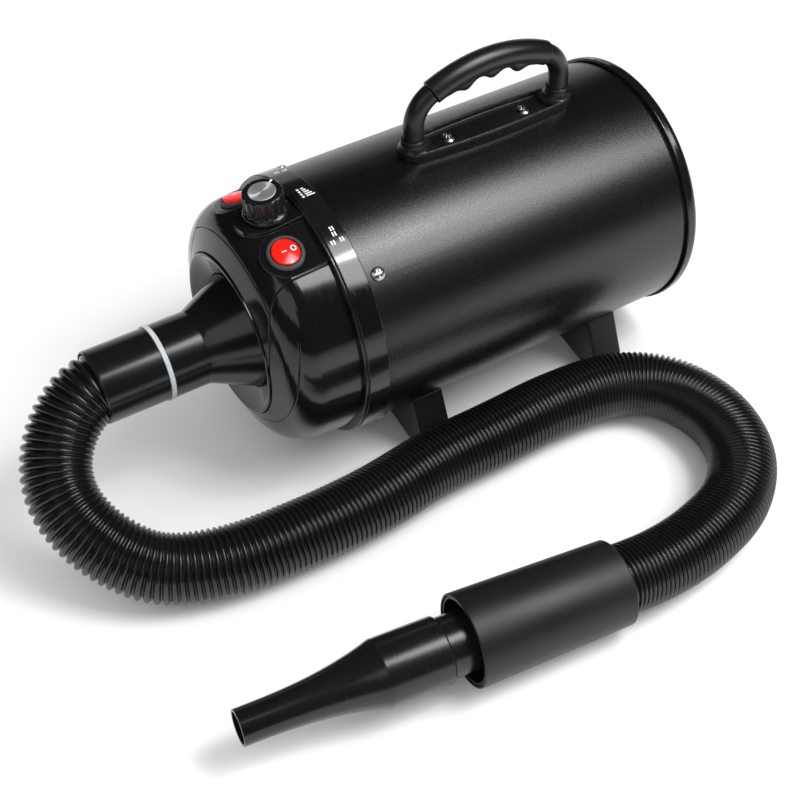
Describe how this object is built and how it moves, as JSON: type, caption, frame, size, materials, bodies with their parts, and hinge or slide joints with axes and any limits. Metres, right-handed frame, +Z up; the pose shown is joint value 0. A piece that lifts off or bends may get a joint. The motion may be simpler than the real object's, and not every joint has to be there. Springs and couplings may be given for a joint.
{
  "type": "pet dryer",
  "caption": "Canister-style forced-air pet dryer: steel drum on two feet, moulded front with speed knob and rocker switches, carrying handle, and a corrugated hose with grip and tapered nozzle.",
  "frame": {"origin": "on the floor, under the middle of the box that holds the dryer and its handpiece, without the free hose", "axes": "+Y along the drum from the air outlet to the filter, +Z up, +X from the drum towards the handpiece"},
  "size_m": [0.3574, 0.4633, 0.24],
  "materials": {
    "drum": "fine-textured dark grey powder coat, satin",
    "front_gloss": "polished black ABS",
    "duct": "dark heat-resistant moulding",
    "outlet_gloss": "glossy black, light scuffs",
    "seal_ring": "light grey soft ring",
    "hose": "glossy black corrugated hose",
    "sleeve": "matte black soft sleeve",
    "knob": "glossy black, fluted, white pointer line",
    "knob_cap": "spun disc",
    "shaft_steel": "plain",
    "pot": "moulded case",
    "rocker_red": "translucent red, white tick marks",
    "switch_grey": "dark grey",
    "board": "green circuit board",
    "board_parts": "components",
    "handle": "semi-matte black",
    "screws": "bright plated",
    "feet": "semi-matte black moulding",
    "pads": "black rubber",
    "rear_gloss": "glossy black",
    "grille": "black",
    "foam": "open-cell grey foam",
    "gland": "black bush",
    "zinc_plate": "zinc-plated sheet",
    "fan_alu": "pressed aluminium",
    "lamination": "laminated steel with enamelled copper windings",
    "mica": "mica board",
    "coil": "resistance wire"
  },
  "bodies": {
    "dryer": {"body_tube": "drum", "front_band": "front_gloss", "front_housing": "front_gloss", "control_deck": "front_gloss", "outlet_collar": "front_gloss", "outlet_duct": "duct", "hose_adapter": "outlet_gloss", "seal_ring": "seal_ring", "hose_cuff": "outlet_gloss", "air_hose": "hose", "grip_tube": "outlet_gloss", "grip_sleeve": "sleeve", "pot_body": "pot", "switch_left": "switch_grey", "switch_right": "switch_grey", "control_board": "board", "board_parts": "board_parts", "handle_base": "handle", "handle_arms": "handle", "handle_grip": "handle", "handle_screws": "screws", "body_screws": "screws", "foot_front": "feet", "foot_rear": "feet", "foot_pads": "pads", "foot_screws": "screws", "rear_bezel": "rear_gloss", "cord_gland": "gland", "gland_nut": "switch_grey", "sound_foam": "foam", "bulkhead": "zinc_plate", "bulkhead_gasket": "gland", "fan_housing": "zinc_plate", "fan_diffuser": "fan_alu", "motor_frame": "fan_alu", "stator": "lamination", "motor_spider": "zinc_plate", "spider_grommet": "gland", "heater_frame": "mica", "heater_coil": "coil"},
    "knob": {"speed_knob": "knob", "knob_cap": "knob_cap", "pot_shaft": "shaft_steel"},
    "rocker_left": {"rocker_left": "rocker_red"},
    "rocker_right": {"rocker_right": "rocker_red"},
    "fan_rotor": {"rotor": "lamination", "impellers": "fan_alu"},
    "nozzle": {"nozzle": "outlet_gloss"},
    "filter_cover": {"rear_grille": "grille", "filter_foam": "foam"}
  },
  "joints": [
    {"name": "knob_turn", "type": "hinge", "parent": "dryer", "child": "knob", "pos_m": [-0.09165, -0.0643, 0.1793], "axis": [0, -0.1045, 0.9945], "range_deg": [-165, 105]},
    {"name": "rocker_left_tip", "type": "hinge", "parent": "dryer", "child": "rocker_left", "pos_m": [-0.12232, -0.0684, 0.17212], "axis": [0.9272, 0, 0.3746], "range_deg": [0, 16]},
    {"name": "rocker_right_tip", "type": "hinge", "parent": "dryer", "child": "rocker_right", "pos_m": [-0.06098, -0.0684, 0.17212], "axis": [0.9272, 0, -0.3746], "range_deg": [0, 16]},
    {"name": "fan_spin", "type": "hinge", "parent": "dryer", "child": "fan_rotor", "pos_m": [-0.09165, 0.0887, 0.097], "axis": [0, 1, 0], "continuous": true},
    {"name": "nozzle_pull", "type": "slide", "parent": "dryer", "child": "nozzle", "axis": [-0.1114, -0.9936, 0.0206], "range_m": [0, 0.03]},
    {"name": "filter_pull", "type": "slide", "parent": "dryer", "child": "filter_cover", "axis": [0, 1, 0], "range_m": [0, 0.03]}
  ]
}
